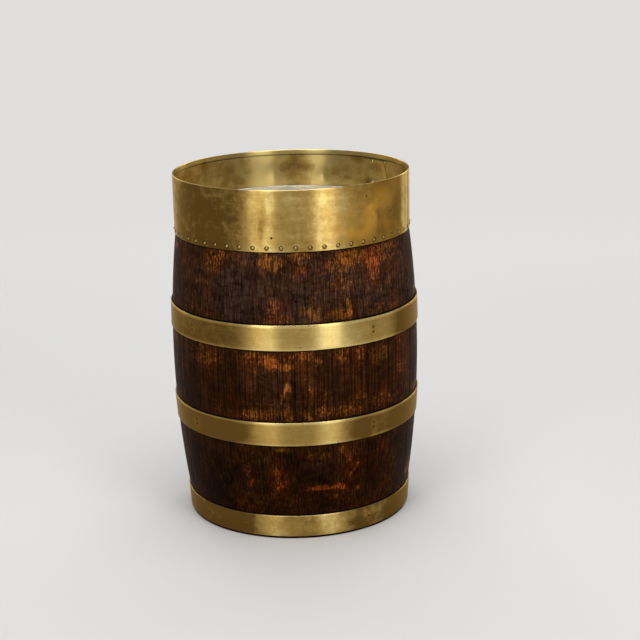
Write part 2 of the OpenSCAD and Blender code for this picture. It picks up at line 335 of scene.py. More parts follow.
def paint(piece: Piece, name: str, strength: Callable[[Vector], float]) -> None:
    """Paints a value on each point of a piece.

    Args:
        piece: The piece.
        name: Name of the attribute.
        strength: Gives the value at a point.
    """
    layer = piece.data.attributes.new(name, "FLOAT", "POINT")
    for vertex, item in zip(piece.data.vertices, layer.data):
        item.value = strength(vertex.co)


# Shader graphs


class Graph:
    """A node tree under construction, with short calls for the nodes used here."""

    def __init__(self, tree: bpy.types.NodeTree) -> None:
        """Takes the tree that the nodes go into."""
        self.tree = tree

    def feed(self, socket: Socket, value: Union[Value, Sequence[float]]) -> None:
        """Links a socket to another, or sets its value."""
        if isinstance(value, bpy.types.NodeSocket):
            self.tree.links.new(value, socket)
        elif socket.type == "RGBA":
            socket.default_value = (*value, 1.0)
        else:
            socket.default_value = value

    def fill(self, node: Node, feeds: dict) -> None:
        """Feeds inputs of a node, each by its name or number."""
        for key, value in feeds.items():
            self.feed(node.inputs[key], value)

    def node(self, kind: str, feeds: dict | None = None, **settings: object) -> Node:
        """Adds a node.

        Args:
            kind: Type of the node, without the words ShaderNode.
            feeds: Value or source of each input, by its name or number.
            settings: Properties of the node.

        Returns:
            The node.
        """
        new = self.tree.nodes.new("ShaderNode" + kind)
        for key, value in settings.items():
            setattr(new, key, value)
        self.fill(new, feeds or {})
        return new

    def math(self, operation: str, *values: Value, clamp: bool = False) -> Socket:
        """Adds a Math node and returns its output."""
        return self.node("Math", dict(enumerate(values)), operation=operation,
                         use_clamp=clamp).outputs[0]

    def less(self, a: Value, b: Value) -> Socket:
        """Takes b from a."""
        return self.math("SUBTRACT", a, b)

    def times(self, *values: Value) -> Socket:
        """Multiplies values with one another."""
        return reduce(lambda a, b: self.math("MULTIPLY", a, b), values)

    def largest(self, *values: Socket) -> Socket:
        """Gives the largest of some values."""
        return reduce(lambda a, b: self.math("MAXIMUM", a, b), values)

    def sum(self, *terms: Union[tuple[Socket, float], float]) -> Socket:
        """Adds up values, each with its factor, and plain numbers."""
        total = sum(term for term in terms if not isinstance(term, tuple))
        for value, factor in (term for term in terms if isinstance(term, tuple)):
            total = self.math("MULTIPLY_ADD", value, factor, total)
        return total

    def between(self, value: Socket, low: Value, high: Value, to_low: float = 0.0,
                to_high: float = 1.0) -> Socket:
        """Maps a range of a value smoothly onto another range."""
        return self.node("MapRange", {"Value": value, 1: low, 2: high, 3: to_low, 4: to_high},
                         interpolation_type="SMOOTHSTEP").outputs[0]

    def split(self, vector: Socket) -> bpy.types.NodeOutputs:
        """Splits a vector into its three parts."""
        return self.node("SeparateXYZ", {0: vector}).outputs

    def noise(self, vector: Socket, scale: float, detail: float = 3.0, roughness: float = 0.55,
              distortion: float = 0.0) -> Socket:
        """Adds a Noise Texture and returns its value."""
        return self.node("TexNoise", {"Vector": vector, "Scale": scale, "Detail": detail,
                                      "Roughness": roughness, "Distortion": distortion}
                         ).outputs["Fac"]

    def drawn(self, vector: Socket, across: float, along: float, *settings: float) -> Socket:
        """Adds noise with one scale across the third axis and another along it."""
        stretched = self.node("VectorMath", {0: vector, 1: (across, across, along)},
                              operation="MULTIPLY")
        return self.noise(stretched.outputs[0], 1.0, *settings)

    def mix(self, factor: Value, a: Union[Socket, Colour], b: Union[Socket, Colour],
            blend: str = "MIX") -> Socket:
        """Mixes two colours and returns the result."""
        return self.node("Mix", {0: factor, 6: a, 7: b}, data_type="RGBA",
                         blend_type=blend).outputs[2]

    def ramp(self, value: Socket, stops: Sequence[tuple[float, Colour]]) -> Socket:
        """Turns a value into a colour.

        Args:
            value: The value, from 0 to 1.
            stops: Place and colour of each stop, in order.

        Returns:
            The colour.
        """
        new = self.node("ValToRGB", {0: value})
        elements = new.color_ramp.elements
        while len(elements) < len(stops):
            elements.new(1.0)
        for element, (place, colour) in zip(elements, stops):
            element.position = place
            element.color = (*colour, 1.0)
        return new.outputs[0]

    def mask(self, name: str) -> Socket:
        """Reads a value that is painted on the mesh."""
        return self.node("Attribute", attribute_name=name).outputs["Fac"]

    def spots(self, vector: Socket, marks: Sequence[Mark], face: float) -> list[Socket]:
        """Gives the masks of marks.

        Args:
            vector: Object coordinates.
            marks: The marks.
            face: Radius of the wall that carries them.

        Returns:
            The mask of each mark, 1 at its middle.
        """
        masks = []
        for azimuth, height, radius in marks:
            away = self.node("VectorMath", {0: vector, 1: tuple(polar(face, azimuth, height * MM))},
                             operation="DISTANCE")
            masks.append(self.between(away.outputs["Value"], radius * MM, radius * MM * 0.6))
        return masks


class Effect:
    """A shader node group that several materials share."""

    def __init__(self, name: str, inputs: dict[str, object], outputs: Sequence[str]) -> None:
        """Opens a new group.

        Args:
            name: Name of the group.
            inputs: Default of each input: a number, a colour of 3 numbers, or None for a vector.
            outputs: Names of the outputs; one that ends in Colour is a colour, the rest are values.
        """
        self.tree = bpy.data.node_groups.new(name, "ShaderNodeTree")
        for key, default in inputs.items():
            kind = {type(None): "NodeSocketVector", tuple: "NodeSocketColor"}.get(
                type(default), "NodeSocketFloat")
            socket = self.tree.interface.new_socket(key, in_out="INPUT", socket_type=kind)
            if default is not None:
                socket.default_value = (*default, 1.0) if isinstance(default, tuple) else default
        for key in outputs:
            kind = "NodeSocketColor" if key.endswith("Colour") else "NodeSocketFloat"
            self.tree.interface.new_socket(key, in_out="OUTPUT", socket_type=kind)
        self.graph = Graph(self.tree)
        self.source = self.tree.nodes.new("NodeGroupInput").outputs
        self.result = self.tree.nodes.new("NodeGroupOutput")

    def give(self, **results: Socket) -> None:
        """Links the group's outputs."""
        self.graph.fill(self.result, results)

    def place(self, graph: Graph, **feeds: object) -> bpy.types.NodeOutputs:
        """Adds the group to a material's graph.

        Args:
            graph: The material's graph.
            feeds: Values of the group's inputs, each named with its spaces left out.

        Returns:
            The outputs of the group's node.
        """
        new = graph.node("Group", node_tree=self.tree)
        names = {name.replace(" ", ""): name for name in new.inputs.keys()}
        graph.fill(new, {names[key]: value for key, value in feeds.items()})
        return new.outputs


def brass_effect() -> Effect:
    """Makes the effect of old sheet brass: soft clouds, fine mottling, brushed lines and waves."""
    effect = Effect("aged_brass", {
        "Vector": None, "Tarnish": 0.0, "Grime": 0.0, "Polish": 0.0, "Stain": 0.0,
        "Bright": (0.8, 0.6, 0.2), "Mid": (0.6, 0.4, 0.1), "Dark": (0.2, 0.1, 0.03),
        "Ochre": (0.5, 0.25, 0.04), "Cloud Amount": 0.4, "Speck Amount": 0.3,
        "Wave Height": 0.2, "Gloss": 0.25}, ["Colour", "Roughness", "Height"])
    graph, source = effect.graph, effect.source
    vector = source["Vector"]
    cloud = graph.noise(vector, 26.0, 4.0, 0.55, 0.6)
    mottle = graph.noise(vector, 95.0, 5.0, 0.68, 0.4)
    fine = graph.noise(vector, 380.0, 3.0, 0.6)
    lines = graph.drawn(vector, 14.0, 900.0, 2.0, 0.5)
    wiped = graph.drawn(vector, 9.0, 60.0)
    streaks = graph.drawn(vector, 26.0, 430.0, 3.0, 0.6)
    cloudy = graph.sum((cloud, 0.8), (mottle, 1.0), (wiped, 0.55), -1.175)
    cloudy = graph.times(cloudy, source["Cloud Amount"])
    dull = graph.sum((source["Tarnish"], 1.0), (cloudy, 1.0), (streaks, 0.2), (fine, 0.2), -0.03)
    # Polishing and painted highlight brighten the colour towards Bright.
    dull = graph.math("ADD", dull, graph.times(source["Polish"], -0.8), clamp=True)
    tone = graph.mix(graph.between(dull, 0.02, 0.6), source["Bright"], source["Mid"])
    tone = graph.mix(graph.between(dull, 0.5, 1.15), tone, source["Dark"])
    stain = graph.times(source["Stain"], graph.between(cloud, 0.35, 0.65, 0.3, 1.0))
    tone = graph.mix(stain, tone, source["Ochre"])
    specks = graph.node("TexVoronoi", {"Vector": vector, "Scale": 150.0, "Randomness": 1.0})
    speck = graph.times(graph.between(specks.outputs["Distance"], 0.2, 0.08),
                        graph.between(graph.noise(vector, 60.0, 2.0), 0.6, 0.7),
                        source["Speck Amount"])
    # Specks, marks and painted shade, such as the shadow under the hem, darken the colour.
    soil_and_shade = graph.largest(speck, source["Grime"])
    tone = graph.mix(soil_and_shade, tone, (0.03, 0.017, 0.007))
    rough = graph.sum((dull, 0.14), (fine, 0.1), (soil_and_shade, 0.3), -0.05)
    rough = graph.math("ADD", rough, source["Gloss"], clamp=True)
    waves = graph.times(graph.noise(vector, 21.0, 2.0, 0.45), source["Wave Height"])
    height = graph.sum((lines, 0.003), (fine, 0.006), (soil_and_shade, -0.05), (waves, 1.0), 0.0)
    effect.give(Colour=tone, Roughness=rough, Height=height)
    return effect


def grain_effect() -> Effect:
    """Makes the effect of straight oak grain along the vector's third axis."""
    effect = Effect("oak_grain", {"Vector": None, "Shift": 0.0},
                    ["Ribs", "Fibres", "Flakes", "Blocks", "Broad", "Height"])
    graph, shift = effect.graph, effect.source["Shift"]
    shifts = graph.node("CombineXYZ", {0: shift, 1: shift, 2: shift}).outputs[0]
    moved = graph.node("VectorMath", {0: effect.source["Vector"], 1: shifts},
                       operation="ADD").outputs[0]
    ribs = graph.between(graph.drawn(moved, 720.0, 5.0, 2.0, 0.5), 0.42, 0.56)
    fibres = graph.drawn(moved, 330.0, 60.0, 4.0, 0.65)
    flakes = graph.drawn(moved, 280.0, 220.0, 5.0, 0.72, 0.5)
    blocks = graph.drawn(moved, 62.0, 120.0, 4.0, 0.6, 0.9)
    broad = graph.drawn(moved, 15.0, 11.0, 3.0, 0.55, 0.6)
    height = graph.sum((ribs, 0.07), (fibres, 0.10), (blocks, 0.05), 0.0)
    effect.give(Ribs=ribs, Fibres=fibres, Flakes=flakes, Blocks=blocks, Broad=broad,
                Height=height)
    return effect


# Finishes


class Kit:
    """The effects that the finishes share, made once."""

    def __init__(self) -> None:
        """Builds the effects."""
        self.brass = brass_effect()
        self.grain = grain_effect()


@dataclass(frozen=True)
class Finish:
    """What every finish has.

    Attributes:
        name: Name of the material.
    """

    name: str

    def start(self) -> tuple[Material, Graph, Node, Socket]:
        """Opens a material.

        Returns:
            The material, its graph, its shader and the object coordinates.
        """
        material = bpy.data.materials.new(self.name)
        material.use_nodes = True
        graph = Graph(material.node_tree)
        shader = material.node_tree.nodes["Principled BSDF"]
        return material, graph, shader, graph.node("TexCoord").outputs["Object"]

    def relief(self, graph: Graph, shader: Node, height: Socket) -> None:
        """Turns a height in millimetres into the shader's normal."""
        bump = graph.node("Bump", {"Strength": 1.0, "Distance": MM, "Height": height})
        graph.feed(shader.inputs["Normal"], bump.outputs["Normal"])


@dataclass(frozen=True)
class BrassFinish(Finish):
    """Old sheet brass, brushed along the band.

    Attributes:
        bright: Colour where it is clean.
        mid: Colour where it is dull.
        dark: Colour where it is brown with age, or darkened by painted shade.
        ochre: Colour of its few warm stains.
        rim: Tint of what is seen in it at a flat angle.
        cloud_amount: How strong the soft clouds are.
        speck_amount: How strong the dark specks are.
        wave_height: Height of the waves where the sheet is most dented, in millimetres.
        gloss: Roughness of the clean metal.
        brushed: How far a reflection is drawn out across the brushed lines.
        spots: Its marks.
        face: Radius of the face that carries them.
        nails: Heads that gather dirt round them, if any.
    """

    bright: Colour = (0.76, 0.58, 0.22)
    mid: Colour = (0.46, 0.295, 0.078)
    dark: Colour = (0.148, 0.072, 0.0125)
    ochre: Colour = (0.86, 0.46, 0.075)
    rim: Colour = (0.86, 0.74, 0.56)
    cloud_amount: float = 1.0
    speck_amount: float = 0.6
    wave_height: float = 0.2
    gloss: float = 0.31
    brushed: float = 0.9
    spots: tuple[Mark, ...] = ()
    face: float = 0.17
    nails: "NailRow | None" = None

    def material(self, kit: Kit) -> Material:
        """Builds the material.

        Args:
            kit: The shared effects.

        Returns:
            The material.
        """
        material, graph, shader, vector = self.start()
        soil_and_shade = graph.spots(vector, self.spots, self.face) + [graph.mask("painted_hem_shadow")]
        if self.nails:
            soil_and_shade.append(self.nails.darkening(graph, vector))
        tarnish_and_shade, polish_and_highlight, stain, dents = map(graph.mask, ("tarnish_and_shade", "polish_and_highlight", "stain", "dents"))
        metal = kit.brass.place(
            graph, Vector=vector, Tarnish=tarnish_and_shade, Grime=graph.largest(*soil_and_shade), Polish=polish_and_highlight,
            Stain=stain, Bright=self.bright, Mid=self.mid, Dark=self.dark, Ochre=self.ochre,
            CloudAmount=self.cloud_amount, SpeckAmount=self.speck_amount,
            WaveHeight=graph.times(dents, self.wave_height), Gloss=self.gloss)
        graph.fill(shader, {
            "Base Color": metal["Colour"], "Roughness": metal["Roughness"], "Metallic": 1.0,
            "Specular Tint": self.rim, "Anisotropic": self.brushed, "Anisotropic Rotation": 0.25})
        self.relief(graph, shader, metal["Height"])
        return material


@dataclass(frozen=True)
class NailRow:
    """A level row of evenly spaced nails round the wall.

    Attributes:
        count: Number of nails.
        azimuth: Azimuth of the first nail.
        height: Height of the row.
        radius: Radius of the wall under the heads.
        head: Radius of a head.
    """

    count: int
    azimuth: float
    height: float
    radius: float
    head: float

    def darkening(self, graph: Graph, vector: Socket) -> Socket:
        """Adds the dirt that gathers round the heads.

        Args:
            graph: Graph of the wall's material.
            vector: Object coordinates.

        Returns:
            The mask of the dirt.
        """
        faint, full, strength, ragged = 1.6 * self.head, 1.2 * self.head, 0.9, 0.7 * MM
        x, y, z = graph.split(vector)
        turn = graph.math("ARCTAN2", x, graph.times(y, -1.0))
        step = math.tau / self.count
        along = graph.less(turn, math.radians(self.azimuth) - step / 2)
        along = graph.less(graph.math("FLOORED_MODULO", along, step), step / 2)
        along, up = graph.times(along, self.radius), graph.less(z, self.height)
        away = graph.math("SQRT", graph.math("ADD", graph.times(along, along),
                                             graph.times(up, up)))
        away = graph.math("ADD", away, graph.math(
            "MULTIPLY_ADD", graph.noise(vector, 260.0), 2 * ragged, -ragged))
        return graph.times(graph.between(away, faint, full), strength)


@dataclass(frozen=True)
class OakFinish(Finish):
    """Dark stained and waxed oak, worn back to orange where hands and feet met it.

    Attributes:
        wear: Place and colour of each stop from thick stain to bare wood.
        red: What the wood's colour is multiplied by where red stain is left in it.
        haze_and_sheen: Colour of the dull wax, also laid on as a painted sheen where reflected
            light would lighten the wood.
        soil_and_shade: Colour of the soiling in joints and at marks, and of the painted shade under
            the edges of the brass.
        foot_shade: How dark the painted shade makes the wood at its foot, against its top.
    """

    wear: tuple[tuple[float, Colour], ...] = (
        (0.0, (0.009, 0.0028, 0.0007)), (0.3, (0.033, 0.0105, 0.0019)),
        (0.5, (0.072, 0.0232, 0.0038)), (0.75, (0.174, 0.058, 0.0078)),
        (1.0, (0.43, 0.160, 0.023)))
    red: Colour = (1.5, 0.82, 0.65)
    haze_and_sheen: Colour = (0.025, 0.0190, 0.0165)
    soil_and_shade: Colour = (0.003, 0.002, 0.0015)
    foot_shade: float = 0.60

    def material(self, kit: Kit, spots: Sequence[Mark], face: float,
                 edges: Sequence[float]) -> Material:
        """Builds the material.

        Args:
            kit: The shared effects.
            spots: Marks on the wood.
            face: Radius of the wood at the marks.
            edges: Heights of the brass edges that lie on the wood.

        Returns:
            The material.
        """
        material, graph, shader, vector = self.start()
        grain = kit.grain.place(graph, Vector=vector, Shift=graph.mask("tone"))
        ribs, fibres, flakes, blocks, broad = (
            grain[name] for name in ("Ribs", "Fibres", "Flakes", "Blocks", "Broad"))
        worn, haze_and_sheen, red, gaping = map(graph.mask, ("wear", "haze_and_sheen", "red", "gaping"))
        bared = graph.between(graph.sum((flakes, 1.0), (worn, 0.25), 0.0), 0.56, 0.70)
        level = graph.sum((bared, 0.34), (worn, 0.16), (blocks, 0.60), (flakes, 0.35),
                          (fibres, 0.50), (broad, 0.70), -0.69)
        level = graph.less(level, graph.times(graph.less(1.0, ribs),
                                              graph.sum((level, 0.30), 0.14)))
        level = graph.math("MINIMUM", graph.largest(level, 0.0), 1.0)
        colour = graph.ramp(level, self.wear)
        ruddy = graph.math("ADD", red, graph.between(broad, 0.45, 0.65, 0.0, 0.35), clamp=True)
        colour = graph.mix(ruddy, colour, self.red, "MULTIPLY")
        # Dull wax and painted sheen: reflected light and a lighter top band are painted into the
        # colour here.
        haze_and_sheen_amount = graph.math("ADD", haze_and_sheen, graph.between(broad, 0.55, 0.4, 0.0, 0.08))
        haze_and_sheen_amount = graph.times(haze_and_sheen_amount, graph.between(blocks, 0.3, 0.7, 0.2, 1.0),
                            graph.between(ribs, 0.0, 1.0, 0.45, 1.1))
        colour = graph.mix(haze_and_sheen_amount, colour, self.haze_and_sheen, "ADD")
        sides = graph.split(graph.node("UVMap", uv_map="edges").outputs[0])
        joint = graph.less(graph.math("MINIMUM", sides[0], sides[1]), graph.times(
            gaping, graph.between(fibres, 0.35, 0.6, 0.0, 1.1 * MM)))
        joint = graph.times(graph.between(joint, 0.9 * MM, 0.3 * MM), graph.largest(
            graph.between(broad, 0.35, 0.65, 0.1, 0.6), gaping))
        height = graph.split(vector)[2]
        # Painted shade: the wood darkens towards its foot, as if less light reached it there.
        shaded = graph.mix(1.0, colour, (self.foot_shade,) * 3, "MULTIPLY")
        colour = graph.mix(graph.between(height, 0.42, 0.03), colour, shaded)
        # Painted shade: a dark line on the wood along each edge of the brass that stands proud of
        # it.
        under = [graph.between(graph.math("ABSOLUTE", graph.less(height, edge)), 2.6 * MM,
                               0.7 * MM) for edge in edges]
        darkening = graph.largest(joint, *under, *graph.spots(vector, spots, face))
        graph.fill(shader, {
            "Base Color": graph.mix(darkening, colour, self.soil_and_shade), "Specular IOR Level": 0.01,
            "Roughness": graph.sum((blocks, 0.25), (level, -0.10), (haze_and_sheen_amount, 0.12), 0.34)})
        self.relief(graph, shader, grain["Height"])
        return material


@dataclass(frozen=True)
class PlainWoodFinish(Finish):
    """Plain sawn wood that is seldom seen.

    Attributes:
        light: Colour of the wood between its pores.
        dark: Colour of its grain.
        lie: Turn of the grain's axis, in degrees round X, Y and Z.
    """

    light: Colour = (0.26, 0.16, 0.09)
    dark: Colour = (0.10, 0.055, 0.03)
    lie: tuple[float, float, float] = (0.0, 0.0, 0.0)

    def material(self, kit: Kit) -> Material:
        """Builds the material.

        Args:
            kit: The shared effects.

        Returns:
            The material.
        """
        material, graph, shader, vector = self.start()
        turned = graph.node("Mapping", {"Vector": vector,
                                        "Rotation": [math.radians(a) for a in self.lie]})
        grain = kit.grain.place(graph, Vector=turned.outputs[0])
        dark = graph.sum((grain["Fibres"], 1.6), (grain["Broad"], 0.8), -0.9)
        graph.fill(shader, {
            "Base Color": graph.mix(graph.between(dark, 0.0, 1.0), self.light, self.dark),
            "Roughness": graph.sum((grain["Blocks"], 0.3), 0.5)})
        self.relief(graph, shader, grain["Height"])
        return material


@dataclass(frozen=True)
class ZincFinish(Finish):
    """Dull pale zinc sheet with a bloom of oxide.

    Attributes:
        metal: Colour of the sheet.
        oxide: Colour of the bloom.
    """

    metal: Colour = (0.50, 0.48, 0.43)
    oxide: Colour = (0.70, 0.64, 0.51)

    def material(self) -> Material:
        """Builds the material.

        Returns:
            The material.
        """
        material, graph, shader, vector = self.start()
        bloom = graph.noise(vector, 30.0, 5.0, 0.65, 1.0)
        streaks = graph.drawn(vector, 160.0, 12.0)
        cells = graph.node("TexVoronoi", {"Vector": vector, "Scale": 120.0, "Randomness": 1.0})
        spangle = graph.node("SeparateColor", {0: cells.outputs["Color"]}).outputs[0]
        cover = graph.between(graph.sum((bloom, 0.8), (streaks, 0.4), (spangle, 0.18), 0.0),
                              0.48, 0.92)
        graph.fill(shader, {
            "Base Color": graph.mix(cover, self.metal, self.oxide),
            "Metallic": graph.between(cover, 0.0, 1.0, 0.55, 0.15),
            "Roughness": graph.math("MULTIPLY_ADD", cover, 0.2, 0.45)})
        self.relief(graph, shader, graph.times(bloom, 0.05))
        return material


# Sub-assemblies


@dataclass
class Coopering:
    """The bowed wall of staves.

    Attributes:
        kit: Effects that the finishes share.
        bow_radius: Radius of the long bow of a stave.
        bilge_height: Height of the widest place.
        thickness: Thickness of a stave.
        top_bevel: Bevel round the inner edge of the stave tops.
        chime_height: Height of the bevel inside the foot.
        chime_thickness: Thickness of the wood at its foot.
        croze_low: Height of the lower edge of the groove that holds the head.
        croze_width: Width of that groove.
        croze_depth: Depth of that groove.
        foot_taper: How much slimmer the wood is at the floor than at the foot hoop's top.
        crown: How much lower the edges of a stave lie than its middle.
        lean: How much lower one edge of a stave lies than its middle where its face leans.
        ease: Width of the bevel along a joint.
        mark_depth: How far inside the bilge the wood lies at its dark marks.
        rows: Rows of faces up the outside of a stave.
        inner_rows: Rows of faces up its inside.
        columns: Columns of faces across a stave.
        bilge_radius: Radius of the wood at its widest.
        top: Height of the stave tops.
        seat: Height of the collar's lower edge.
        foot_top: Height of the foot hoop's upper edge.
    """

    kit: Kit
    bow_radius: float = 1.408
    bilge_height: float = 0.243
    thickness: float = 0.018
    top_bevel: float = 0.003
    chime_height: float = 0.016
    chime_thickness: float = 0.011
    croze_low: float = 0.0259
    croze_width: float = 0.0052
    croze_depth: float = 0.0045
    foot_taper: float = 0.0022
    crown: float = 0.0002
    lean: float = 0.00012
    ease: float = 0.0004
    mark_depth: float = 0.004
    rows: int = 112
    inner_rows: int = 24
    columns: int = 18
    bilge_radius: float = field(init=False)
    top: float = field(init=False)
    seat: float = field(init=False)
    foot_top: float = field(init=False)

    def __post_init__(self) -> None:
        """Takes the wall's heights and radius from the frame."""
        boxes = [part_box(node) for node in self.nodes()]
        self.bilge_radius = max(high[1] for _, high in boxes)
        self.top = boxes[0][1][2]
        self.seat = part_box("top_collar")[0][2]
        self.foot_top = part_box("foot_hoop")[1][2]

    def nodes(self) -> list[str]:
        """Gives the names of the staves' nodes."""
        return sorted(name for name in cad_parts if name.startswith("stave_"))

    def bow(self, height: float, inset: float = 0.0) -> float:
        """Gives the radius of the bow at a height, or of one that lies inset inside it."""
        rise = height - self.bilge_height
        return (self.bilge_radius - self.bow_radius
                + math.sqrt((self.bow_radius - inset) ** 2 - rise * rise))

    def outside(self, height: float) -> float:
        """Gives the radius of the wood's outer face at a height."""
        if height < self.foot_top:
            return self.bow(self.foot_top) - self.foot_taper * (1 - height / self.foot_top)
        return self.bow(min(height, self.seat))

    def section(self) -> Section:
        """Gives the section of a stave.

        Returns:
            Its corners, from its foot up outside and down inside.
        """
        def inner(height: float) -> float:
            return self.bow(height, self.thickness)

        bevel_low = self.top - self.top_bevel
        croze_high = self.croze_low + self.croze_width
        croze = inner(croze_high) + self.croze_depth
        up = [self.top * i / self.rows for i in range(self.rows + 1)]
        down = [bevel_low - (bevel_low - croze_high) * i / self.inner_rows
                for i in range(self.inner_rows + 1)]
        return ([(self.outside(height), height) for height in up]
                + [(inner(self.top) + self.top_bevel, self.top)]
                + [(inner(height), height) for height in down]
                + [(croze, croze_high), (croze, self.croze_low),
                   (inner(self.croze_low), self.croze_low),
                   (inner(self.chime_height), self.chime_height),
                   (self.outside(0.0) - self.chime_thickness, 0.0)])

    def build(self, stains: "Stains", finish: OakFinish, spots: Sequence[Mark]) -> None:
        """Builds and dresses the staves.

        Args:
            stains: Worn and dull patches of the wood.
            finish: Finish of the staves.
            spots: Marks on the wood.
        """
        edges = [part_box(name)[end][2] for name in ("upper_hoop", "lower_hoop", "foot_hoop")
                 for end in (0, 1)] + [self.seat]
        material = finish.material(self.kit, spots, self.bilge_radius - self.mark_depth, edges)
        paints = {name: patch_paint(marks) for name, marks in vars(stains).items()}
        chance = random.Random(22)
        for node in self.nodes():
            piece = self.stave(node, chance.uniform(-1.0, 1.0))
            tone = chance.random()
            paint(piece, "tone", lambda point, value=tone: value)
            for name, strength in paints.items():
                paint(piece, name, strength)
            dress(piece, material)

    def stave(self, node: str, tilt: float) -> Piece:
        """Builds one stave.

        Args:
            node: Node that it stands for.
            tilt: How its face leans, from -1 to 1.

        Returns:
            The stave.
        """
        points = [vertex.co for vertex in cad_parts[node].data.vertices]
        middle = azimuth_of(sum(points, Vector()))
        turns = [turn_between(azimuth_of(point), middle) for point in points]
        start, sweep = middle + min(turns), max(turns) - min(turns)
        middle = start + sweep / 2
        bm = bmesh.new()
        spin_section(bm, self.section(), start, sweep, self.columns)
        close_up(bm)
        for vertex in bm.verts:
            if radius_of(vertex.co) > self.outside(vertex.co.z) - HAIR:
                across = 2 * turn_between(azimuth_of(vertex.co), middle) / sweep
                drop = self.crown * across * across + self.lean * (1 + tilt * across)
                push_out(vertex, -drop)
        caps = [face for face in bm.faces if len(face.verts) > self.rows]
        edges = list(dict.fromkeys(edge for cap in caps for edge in cap.edges))
        bmesh.ops.bevel(bm, geom=edges, offset=self.ease, segments=2, profile=0.5,
                        affect="EDGES", material=-1, clamp_overlap=True)
        bmesh.ops.recalc_face_normals(bm, faces=bm.faces)
        layer = bm.loops.layers.uv.new("edges")
        for loop in (loop for face in bm.faces for loop in face.loops):
            across = math.radians(turn_between(azimuth_of(loop.vert.co), start))
            radius = radius_of(loop.vert.co)
            loop[layer].uv = (radius * across, radius * (math.radians(sweep) - across))
        return finished("oak_" + node, bm, CASK, Slot.OAK, [node])


# Patches of the oak that are in sight: where its stain is worn through above the upper hoop,
# between the hoops and below them, where it is kept, where the wax is dull or a painted sheen
# lightens it, where red stain is left, and where a joint gapes
UPPER_WEAR = patches(
    (-10, 401, 5, 9, 1), (-14, 410, 1.5, 8, 0.8), (-38, 400, 7, 15, 0.3), (3, 410, 5, 5, 0.65),
    (3, 388, 2.6, 13, 0.55), (27, 402, 7, 10, 0.72), (39, 398, 4.5, 16, 0.62),
    (40, 377, 3, 18, 0.4), (17, 393, 2.3, 8, 0.5), (-9, 344, 4.5, 8, 0.55),
    (5.5, 334, 4, 7, 0.75, -0.15), (20, 327, 5, 7, 0.6), (25.2, 335, 0.9, 20, 0.6),
    (9.5, 345, 3, 32, 0.4), (-10, 325, 8, 8, 0.45), (-48, 368, 8, 5, 0.35), (42, 325, 6, 8, 0.45),
    (-47, 325, 7, 6, 0.35), (23, 368, 4, 26, 0.2), (-21, 398, 5, 8, 0.3), (50, 402, 6, 14, 0.35),
    (-1, 372, 2, 16, 0.25), (0, 368, 70, 50, 0.07), (0, 230, 70, 50, 0.03))
MIDDLE_WEAR = patches(
    (-7, 257, 6, 6, 0.68), (-12, 264, 2, 9, 0.5), (-17, 270, 8, 9, 0.45), (-47, 262, 9, 15, 0.4),
    (3, 272, 5, 7, 0.45), (10, 264, 1.6, 4, 0.8), (21, 270, 3, 9, 0.5), (30, 268, 3, 12, 0.6),
    (42, 262, 6, 14, 0.5), (-5.4, 222, 0.6, 14, 1, 0.1), (-3, 227, 0.8, 9, 0.8, -0.05),
    (14, 228, 0.9, 10, 0.6, 0.1), (-21, 188, 6, 7, 0.62), (-11, 190, 4, 6, 0.4),
    (-4, 192, 2.6, 10, 0.55), (4, 188, 1.6, 8, 0.85, -0.3), (12, 190, 4, 7, 0.5),
    (24, 188, 7, 8, 0.5), (31, 210, 2.5, 7, 0.45), (57, 232, 4, 9, 0.35), (-40, 188, 7, 7, 0.3),
    (42, 192, 9, 8, 0.3), (5, 222, 3, 22, 0.28), (25, 225, 4, 20, 0.22))
LOWER_WEAR = patches(
    (-7, 137, 4, 4, 0.6), (20.5, 134, 1.2, 9, 0.6), (-38, 134, 4, 8, 0.35), (-45, 130, 3, 8, 0.25),
    (-25.5, 103, 2, 9, 0.6), (-24, 85, 2.2, 11, 0.6), (-10, 99, 1.3, 9, 0.6),
    (-8.5, 80, 2, 3, 0.55), (-12, 72, 1.5, 7, 0.3), (8, 76, 5, 3.5, 1), (13, 76, 6, 2.5, 1),
    (20, 75, 3, 4, 0.8), (17, 62, 5, 3, 0.5), (27, 99, 1, 10, 1, 0.25), (30, 70, 1.2, 4, 0.7),
    (-18, 58, 2, 7, 0.3), (40, 108, 1, 14, 0.35), (4.5, 100, 2, 14, 0.25), (10, 127, 7, 5, 0.3),
    (27, 125, 4, 5, 0.3), (-10, 118, 1.5, 8, 0.25), (24, 108, 0.6, 16, 0.5, 0.1),
    (-15, 86, 9, 1.2, 0.5), (-24, 66, 6, 1, 0.5), (38, 118, 6, 0.9, 0.5))
KEPT_STAIN = patches(
    (-25, 355, 12, 40, -0.6), (3, 360, 8, 26, -0.4), (-44, 345, 9, 30, -0.2),
    (-30, 225, 5, 40, -0.9), (-24, 212, 5, 12, -0.5), (-50, 215, 12, 26, -0.5),
    (0, 222, 3, 24, -0.5), (34, 222, 14, 14, -0.4), (12, 236, 6, 12, -0.3), (-48, 90, 16, 50, -0.8),
    (-18, 90, 4, 26, -0.4), (-1, 100, 5, 30, -0.4), (36, 90, 8, 34, -0.5), (10, 100, 6, 14, -0.3),
    (20, 225, 6, 18, -0.3), (0, 48, 40, 10, -0.3), (15, 98, 14, 11, -0.3), (-3, 118, 5, 12, -0.4))
